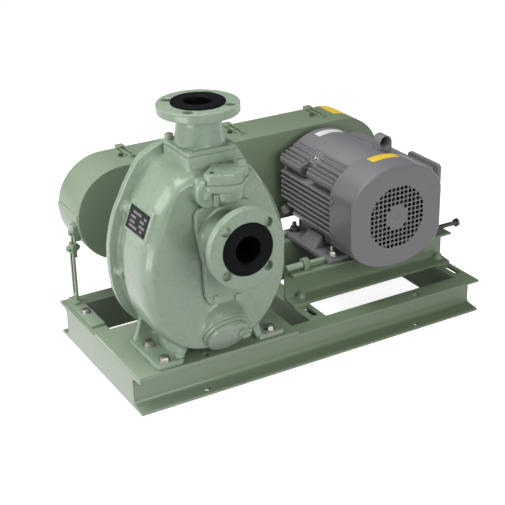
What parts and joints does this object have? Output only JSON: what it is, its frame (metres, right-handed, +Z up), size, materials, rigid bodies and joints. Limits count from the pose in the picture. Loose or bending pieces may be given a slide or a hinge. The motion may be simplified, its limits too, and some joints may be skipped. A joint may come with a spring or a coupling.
{
  "type": "rubber-lined slurry pump set",
  "caption": "Belt-driven self-priming slurry pump with rubber-lined flanges, electric motor, belt guard and channel-steel base.",
  "frame": {"origin": "centre of the base frame in plan, on the floor", "axes": "+X along the long side of the base towards the motor, -Y towards the suction flange at the front, +Z up"},
  "size_m": [0.852, 0.564, 0.581],
  "materials": {
    "MAT_base_front_channel": "gloss grey-green enamel over cast iron or steel",
    "MAT_base_left_end_channel": "gloss grey-green enamel over cast iron or steel",
    "MAT_base_mid_cross_channel": "gloss grey-green enamel over cast iron or steel",
    "MAT_base_rear_channel": "gloss grey-green enamel over cast iron or steel",
    "MAT_base_right_end_channel": "gloss grey-green enamel over cast iron or steel",
    "MAT_belt_guard_lower": "gloss grey-green enamel over cast iron or steel",
    "MAT_belt_guard_upper": "gloss grey-green enamel over cast iron or steel",
    "MAT_cable_gland": "matt",
    "MAT_discharge_branch": "gloss grey-green enamel over cast iron or steel",
    "MAT_discharge_liner": "matt black rubber",
    "MAT_drain_cap": "gloss grey-green enamel over cast iron or steel",
    "MAT_drain_collar": "gloss grey-green enamel over cast iron or steel",
    "MAT_drive_belts": "matt black rubber",
    "MAT_guard_rear_support": "gloss grey-green enamel over cast iron or steel",
    "MAT_guard_stay_bracket": "gloss grey-green enamel over cast iron or steel",
    "MAT_guard_stay_lower": "gloss grey-green enamel over cast iron or steel",
    "MAT_guard_stay_upper": "gloss grey-green enamel over cast iron or steel",
    "MAT_jack_bolt_front_left": "bright zinc or ground steel",
    "MAT_jack_bolt_front_right": "bright zinc or ground steel",
    "MAT_jack_bolt_rear_left": "bright zinc or ground steel",
    "MAT_jack_bolt_rear_right": "bright zinc or ground steel",
    "MAT_lifting_eye": "semi-gloss grey paint on cast iron and sheet",
    "MAT_motor_body": "semi-gloss grey paint on cast iron and sheet",
    "MAT_motor_drive_end_shield": "semi-gloss grey paint on cast iron and sheet",
    "MAT_motor_fan_cover": "semi-gloss grey paint on cast iron and sheet",
    "MAT_motor_foot_left": "semi-gloss grey paint on cast iron and sheet",
    "MAT_motor_foot_right": "semi-gloss grey paint on cast iron and sheet",
    "MAT_motor_frame_front_channel": "gloss grey-green enamel over cast iron or steel",
    "MAT_motor_frame_rear_channel": "gloss grey-green enamel over cast iron or steel",
    "MAT_motor_pulley": "machined cast iron",
    "MAT_motor_shaft": "bright zinc or ground steel",
    "MAT_nameplate": "black etched plate, blank fields",
    "MAT_priming_lid": "gloss grey-green enamel over cast iron or steel",
    "MAT_pump_bearing_housing": "gloss grey-green enamel over cast iron or steel",
    "MAT_pump_casing": "gloss grey-green enamel over cast iron or steel",
    "MAT_pump_pulley": "machined cast iron",
    "MAT_pump_rear_cover": "gloss grey-green enamel over cast iron or steel",
    "MAT_pump_shaft": "bright zinc or ground steel",
    "MAT_pump_sole_plate": "gloss grey-green enamel over cast iron or steel",
    "MAT_suction_branch": "gloss grey-green enamel over cast iron or steel",
    "MAT_suction_cover": "gloss grey-green enamel over cast iron or steel",
    "MAT_suction_liner": "matt black rubber",
    "MAT_terminal_box": "semi-gloss grey paint on cast iron and sheet",
    "MAT_terminal_box_lid": "semi-gloss grey paint on cast iron and sheet"
  },
  "bodies": {
    "root": {"base_front_channel": "MAT_base_front_channel", "base_left_end_channel": "MAT_base_left_end_channel", "base_mid_cross_channel": "MAT_base_mid_cross_channel", "base_rear_channel": "MAT_base_rear_channel", "base_right_end_channel": "MAT_base_right_end_channel", "belt_guard_lower": "MAT_belt_guard_lower", "belt_guard_upper": "MAT_belt_guard_upper", "cable_gland": "MAT_cable_gland", "discharge_branch": "MAT_discharge_branch", "discharge_liner": "MAT_discharge_liner", "drain_cap": "MAT_drain_cap", "drain_collar": "MAT_drain_collar", "drive_belts": "MAT_drive_belts", "guard_rear_support": "MAT_guard_rear_support", "guard_stay_bracket": "MAT_guard_stay_bracket", "guard_stay_lower": "MAT_guard_stay_lower", "guard_stay_upper": "MAT_guard_stay_upper", "jack_bolt_front_left": "MAT_jack_bolt_front_left", "jack_bolt_front_right": "MAT_jack_bolt_front_right", "jack_bolt_rear_left": "MAT_jack_bolt_rear_left", "jack_bolt_rear_right": "MAT_jack_bolt_rear_right", "lifting_eye": "MAT_lifting_eye", "motor_body": "MAT_motor_body", "motor_drive_end_shield": "MAT_motor_drive_end_shield", "motor_fan_cover": "MAT_motor_fan_cover", "motor_foot_left": "MAT_motor_foot_left", "motor_foot_right": "MAT_motor_foot_right", "motor_frame_front_channel": "MAT_motor_frame_front_channel", "motor_frame_rear_channel": "MAT_motor_frame_rear_channel", "motor_pulley": "MAT_motor_pulley", "motor_shaft": "MAT_motor_shaft", "nameplate": "MAT_nameplate", "priming_lid": "MAT_priming_lid", "pump_bearing_housing": "MAT_pump_bearing_housing", "pump_casing": "MAT_pump_casing", "pump_pulley": "MAT_pump_pulley", "pump_rear_cover": "MAT_pump_rear_cover", "pump_shaft": "MAT_pump_shaft", "pump_sole_plate": "MAT_pump_sole_plate", "suction_branch": "MAT_suction_branch", "suction_cover": "MAT_suction_cover", "suction_liner": "MAT_suction_liner", "terminal_box": "MAT_terminal_box", "terminal_box_lid": "MAT_terminal_box_lid"}
  },
  "joints": []
}
